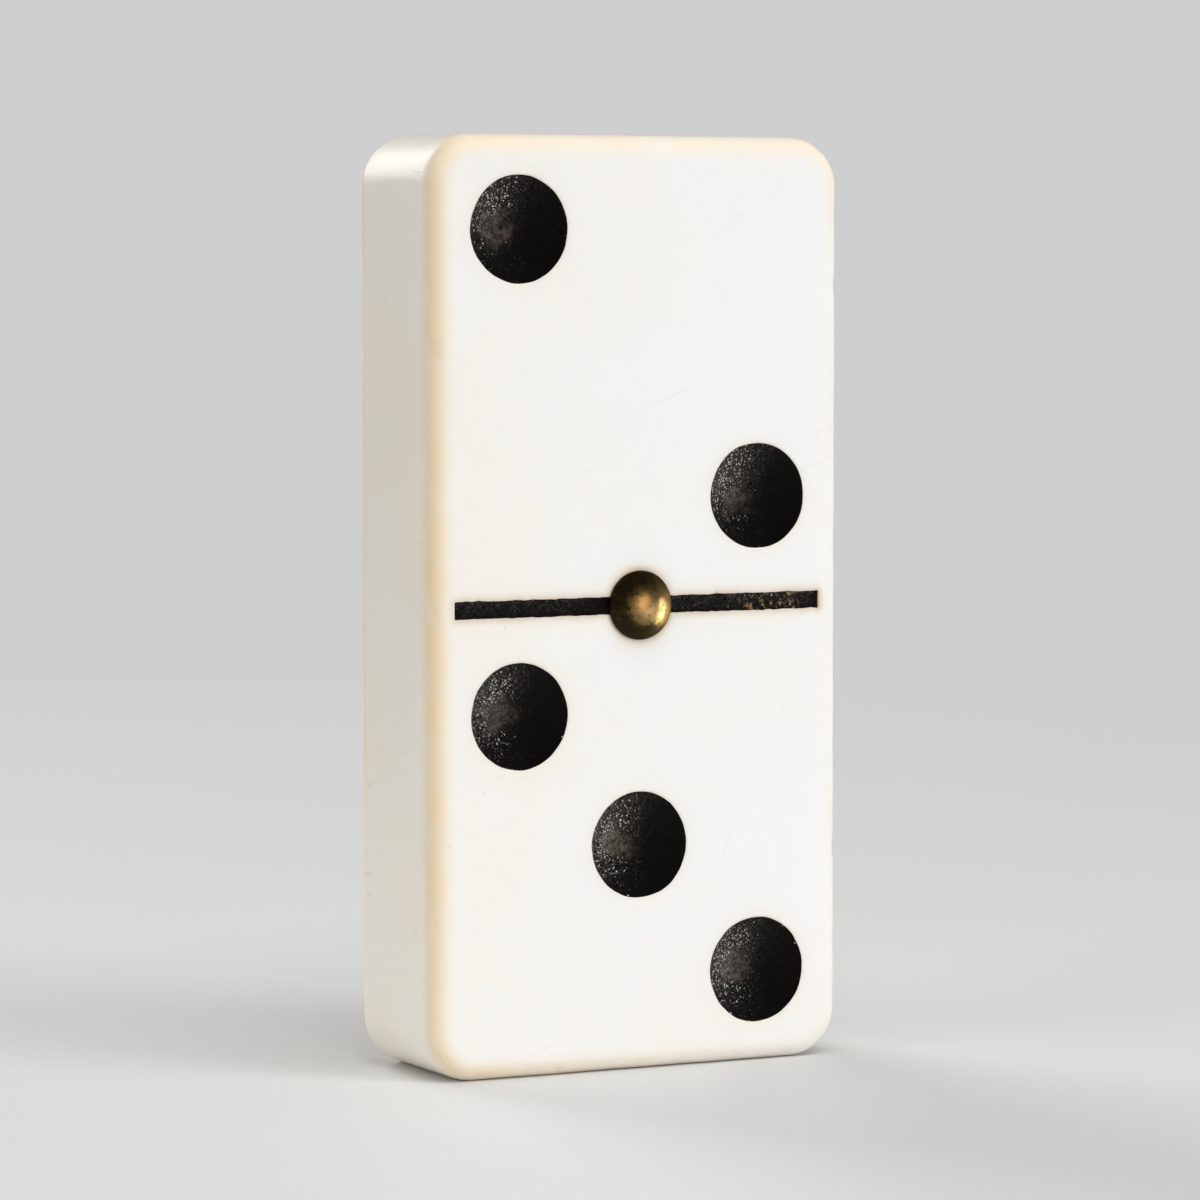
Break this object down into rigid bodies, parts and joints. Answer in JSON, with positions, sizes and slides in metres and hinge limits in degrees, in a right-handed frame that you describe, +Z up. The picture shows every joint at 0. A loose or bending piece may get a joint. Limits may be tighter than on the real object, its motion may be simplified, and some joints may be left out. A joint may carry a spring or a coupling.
{
  "type": "domino tile",
  "caption": "Upright rectangular game tile with rounded edges, black enamelled pip dimples, a dividing groove across the face and a domed brass pin at its centre.",
  "frame": {"origin": "centre of the lower end face, halfway through the thickness", "axes": "+Z up along the tile's length from the three-pip half to the two-pip half, +X to the right across its width seen from the face, +Y through its thickness from the face to the back"},
  "size_m": [0.025, 0.0104, 0.0508],
  "materials": {
    "ivory_plastic": "hand-polished ivory-coloured plastic, yellowed and worn along the edges",
    "black_enamel": "pebbly gloss black enamel, smoother where it pooled",
    "aged_brass": "handled brass with dark brown patina around the rim"
  },
  "bodies": {
    "root": {"tile_body": "ivory_plastic", "spinner_pin": "aged_brass", "pip_enamel_upper_left": "black_enamel", "pip_enamel_upper_right": "black_enamel", "pip_enamel_lower_left": "black_enamel", "pip_enamel_lower_centre": "black_enamel", "pip_enamel_lower_right": "black_enamel", "divider_enamel_left": "black_enamel", "divider_enamel_right": "black_enamel"}
  },
  "joints": []
}
